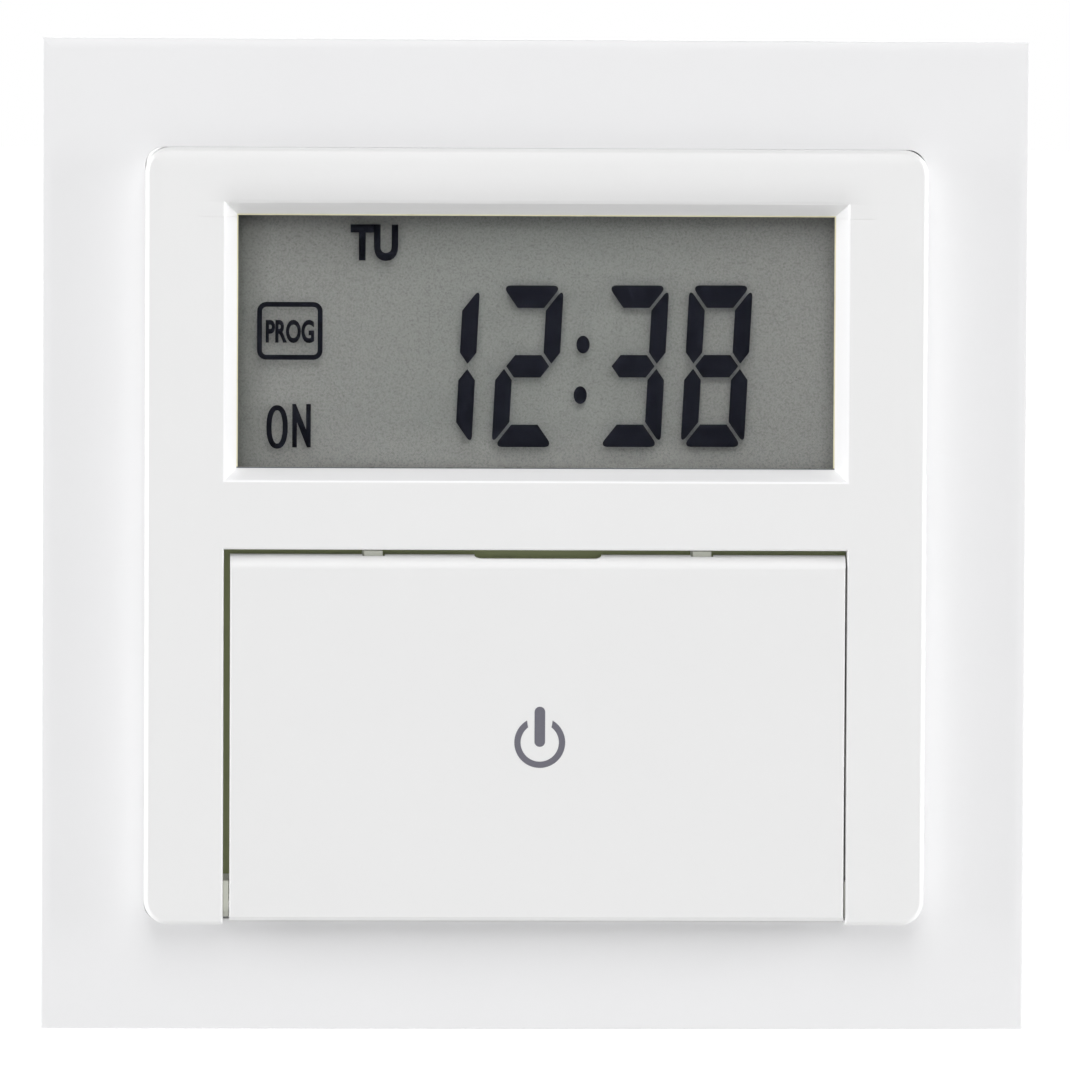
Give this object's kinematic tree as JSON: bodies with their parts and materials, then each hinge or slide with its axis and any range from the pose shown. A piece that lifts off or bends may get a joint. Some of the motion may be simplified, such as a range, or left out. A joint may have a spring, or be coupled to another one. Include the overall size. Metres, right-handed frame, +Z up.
{
  "type": "in-wall digital timer switch",
  "caption": "Square white in-wall timer switch with a segment display, a hinged flap over its keys, a steel mounting plate and a clamped base.",
  "frame": {"origin": "midway between the two wall box screw holes, on the back of the mounting plate, which is the plane of the wall", "axes": "-Y out of the wall towards the room, +Y into the wall box, +Z up, +X to the right as the user faces it"},
  "size_m": [0.08, 0.043, 0.0804],
  "materials": {
    "frame_abs": "smooth moulded white, satin gloss",
    "cover_abs": "smooth moulded white, satin gloss",
    "flap_abs": "smooth moulded white, satin gloss",
    "yoke_abs": "moulded white",
    "shell_abs": "moulded white",
    "clear_pane": "clear moulded acrylic",
    "display_glass": "clear glass with polariser",
    "display_ink": "near black liquid crystal",
    "display_film": "grey-green fine grain reflector",
    "bracket_pc": "moulded white",
    "zebra_rubber": "striped silicone",
    "board_laminate": "green solder resist",
    "chip_epoxy": "moulded black epoxy",
    "ceramic_parts": "sintered ceramic",
    "steel_can": "bright tin plate",
    "spring_steel": "bright spring steel",
    "panel_abs": "fine textured olive grey",
    "key_abs": "fine textured light grey",
    "switch_pa": "moulded black nylon",
    "pin_steel": "ground steel",
    "screw_steel": "bright zinc plate",
    "plate_steel": "zinc plated sheet",
    "claw_steel": "zinc plated strip",
    "nut_brass": "turned brass",
    "contact_brass": "stamped brass",
    "base_pa": "moulded white nylon",
    "relay_pbt": "moulded blue",
    "film_box": "moulded yellow box",
    "can_sleeve": "shrink sleeve on aluminium can",
    "varistor_epoxy": "dipped epoxy",
    "fuse_case": "moulded brown",
    "resistor_lacquer": "lacquered body"
  },
  "bodies": {
    "switch_body": {"outer_frame": "frame_abs", "front_cover": "cover_abs", "window_pane": "clear_pane", "lcd_front_glass": "display_glass", "lcd_segments": "display_ink", "lcd_rear_glass": "display_glass", "lcd_reflector": "display_film", "lcd_bracket": "bracket_pc", "zebra_strip": "zebra_rubber", "control_board": "board_laminate", "microcontroller": "chip_epoxy", "quartz_crystal": "steel_can", "backup_battery": "steel_can", "battery_clip": "spring_steel", "board_parts": "ceramic_parts", "snap_domes": "spring_steel", "tact_switch": "switch_pa", "key_panel": "panel_abs", "flap_hinge_pins": "pin_steel", "rear_shell": "shell_abs", "shell_screws": "screw_steel", "pin_header": "contact_brass", "mounting_plate": "plate_steel", "plate_screws": "screw_steel", "base_housing": "base_pa", "base_lid": "base_pa", "power_board": "board_laminate", "relay": "relay_pbt", "film_capacitor": "film_box", "electrolytic_capacitor": "can_sleeve", "varistor": "varistor_epoxy", "fuse": "fuse_case", "bridge_rectifier": "chip_epoxy", "resistors": "resistor_lacquer", "socket_header": "switch_pa", "contact_bars": "contact_brass"},
    "key_day": {"key_day": "key_abs"},
    "key_hour": {"key_hour": "key_abs"},
    "key_minute": {"key_minute": "key_abs"},
    "key_clock": {"key_clock": "key_abs"},
    "key_program": {"key_program": "key_abs"},
    "key_manual": {"key_manual": "key_abs"},
    "key_random": {"key_random": "key_abs"},
    "key_output": {"key_output": "key_abs"},
    "reset_key": {"reset_key": "key_abs"},
    "flap_carrier": {"flap_carrier": "yoke_abs"},
    "flap": {"flap": "flap_abs"},
    "on_off_plunger": {"on_off_plunger": "key_abs"},
    "claw_left": {"claw_left": "claw_steel"},
    "claw_right": {"claw_right": "claw_steel"},
    "claw_screw_left": {"claw_screw_left": "screw_steel"},
    "claw_screw_right": {"claw_screw_right": "screw_steel"},
    "claw_nut_left": {"claw_nut_left": "nut_brass"},
    "claw_nut_right": {"claw_nut_right": "nut_brass"},
    "terminal_screw_live": {"terminal_screw_live": "screw_steel"},
    "terminal_screw_neutral": {"terminal_screw_neutral": "screw_steel"},
    "terminal_screw_load": {"terminal_screw_load": "screw_steel"},
    "terminal_cage_live": {"terminal_cage_live": "contact_brass"},
    "terminal_cage_neutral": {"terminal_cage_neutral": "contact_brass"},
    "terminal_cage_load": {"terminal_cage_load": "contact_brass"}
  },
  "joints": [
    {"name": "key_press", "type": "hinge", "parent": "switch_body", "child": "flap_carrier", "pos_m": [0, -0.0116, -0.02984], "axis": [1, 0, 0], "range_deg": [-1.2, 0], "stiffness_Nm_per_rad": 1.5},
    {"name": "flap_hinge", "type": "hinge", "parent": "flap_carrier", "child": "flap", "pos_m": [0, -0.0116, -0.02984], "axis": [1, 0, 0], "range_deg": [0, 105]},
    {"name": "on_off_slide", "type": "slide", "parent": "switch_body", "child": "on_off_plunger", "axis": [0, 1, 0], "range_m": [0, 0.00058]},
    {"name": "day_press", "type": "slide", "parent": "switch_body", "child": "key_day", "axis": [0, 1, 0], "range_m": [0, 0.0003], "stiffness_N_per_m": 800, "deforming": ["snap_domes"]},
    {"name": "hour_press", "type": "slide", "parent": "switch_body", "child": "key_hour", "axis": [0, 1, 0], "range_m": [0, 0.0003], "stiffness_N_per_m": 800, "deforming": ["snap_domes"]},
    {"name": "minute_press", "type": "slide", "parent": "switch_body", "child": "key_minute", "axis": [0, 1, 0], "range_m": [0, 0.0003], "stiffness_N_per_m": 800, "deforming": ["snap_domes"]},
    {"name": "clock_press", "type": "slide", "parent": "switch_body", "child": "key_clock", "axis": [0, 1, 0], "range_m": [0, 0.0003], "stiffness_N_per_m": 800, "deforming": ["snap_domes"]},
    {"name": "program_press", "type": "slide", "parent": "switch_body", "child": "key_program", "axis": [0, 1, 0], "range_m": [0, 0.0003], "stiffness_N_per_m": 800, "deforming": ["snap_domes"]},
    {"name": "manual_press", "type": "slide", "parent": "switch_body", "child": "key_manual", "axis": [0, 1, 0], "range_m": [0, 0.0003], "stiffness_N_per_m": 800, "deforming": ["snap_domes"]},
    {"name": "random_press", "type": "slide", "parent": "switch_body", "child": "key_random", "axis": [0, 1, 0], "range_m": [0, 0.0003], "stiffness_N_per_m": 800, "deforming": ["snap_domes"]},
    {"name": "output_press", "type": "slide", "parent": "switch_body", "child": "key_output", "axis": [0, 1, 0], "range_m": [0, 0.0003], "stiffness_N_per_m": 800, "deforming": ["snap_domes"]},
    {"name": "reset_press", "type": "slide", "parent": "switch_body", "child": "reset_key", "axis": [0, 1, 0], "range_m": [0, 0.0003], "stiffness_N_per_m": 800, "deforming": ["snap_domes"]},
    {"name": "claw_nut_left_slide", "type": "slide", "parent": "switch_body", "child": "claw_nut_left", "axis": [0, -1, 0], "range_m": [0, 0.008]},
    {"name": "claw_screw_left_turn", "type": "hinge", "parent": "switch_body", "child": "claw_screw_left", "pos_m": [-0.024, 0.01, 0], "axis": [0, 1, 0], "range_deg": [0, 5761]},
    {"name": "claw_left_swing", "type": "hinge", "parent": "switch_body", "child": "claw_left", "pos_m": [-0.024, 0.0035, 0], "axis": [0, 0, 1], "range_deg": [0, 10.2]},
    {"name": "claw_nut_right_slide", "type": "slide", "parent": "switch_body", "child": "claw_nut_right", "axis": [0, -1, 0], "range_m": [0, 0.008]},
    {"name": "claw_screw_right_turn", "type": "hinge", "parent": "switch_body", "child": "claw_screw_right", "pos_m": [0.024, 0.01, 0], "axis": [0, 1, 0], "range_deg": [0, 5761]},
    {"name": "claw_right_swing", "type": "hinge", "parent": "switch_body", "child": "claw_right", "pos_m": [0.024, 0.0035, 0], "axis": [0, 0, -1], "range_deg": [0, 10.2]},
    {"name": "terminal_cage_live_rise", "type": "slide", "parent": "switch_body", "child": "terminal_cage_live", "axis": [0, 1, 0], "range_m": [0, 0.0032]},
    {"name": "terminal_screw_live_turn", "type": "hinge", "parent": "switch_body", "child": "terminal_screw_live", "pos_m": [-0.0085, 0.024, -0.0186], "axis": [0, -1, 0], "range_deg": [0, 2305]},
    {"name": "terminal_cage_neutral_rise", "type": "slide", "parent": "switch_body", "child": "terminal_cage_neutral", "axis": [0, 1, 0], "range_m": [0, 0.0032]},
    {"name": "terminal_screw_neutral_turn", "type": "hinge", "parent": "switch_body", "child": "terminal_screw_neutral", "pos_m": [0, 0.024, -0.0186], "axis": [0, -1, 0], "range_deg": [0, 2305]},
    {"name": "terminal_cage_load_rise", "type": "slide", "parent": "switch_body", "child": "terminal_cage_load", "axis": [0, 1, 0], "range_m": [0, 0.0032]},
    {"name": "terminal_screw_load_turn", "type": "hinge", "parent": "switch_body", "child": "terminal_screw_load", "pos_m": [0.0085, 0.024, -0.0186], "axis": [0, -1, 0], "range_deg": [0, 2305]}
  ],
  "couplings": [
    {"joint": "on_off_slide", "follows": "key_press", "m_per_rad": -0.02687},
    {"joint": "claw_screw_left_turn", "follows": "claw_nut_left_slide", "rad_per_m": 12566},
    {"joint": "claw_left_swing", "follows": "claw_nut_left_slide", "rad_per_m": 22.035},
    {"joint": "claw_screw_right_turn", "follows": "claw_nut_right_slide", "rad_per_m": 12566},
    {"joint": "claw_right_swing", "follows": "claw_nut_right_slide", "rad_per_m": 22.035},
    {"joint": "terminal_screw_live_turn", "follows": "terminal_cage_live_rise", "rad_per_m": 12566},
    {"joint": "terminal_screw_neutral_turn", "follows": "terminal_cage_neutral_rise", "rad_per_m": 12566},
    {"joint": "terminal_screw_load_turn", "follows": "terminal_cage_load_rise", "rad_per_m": 12566}
  ]
}
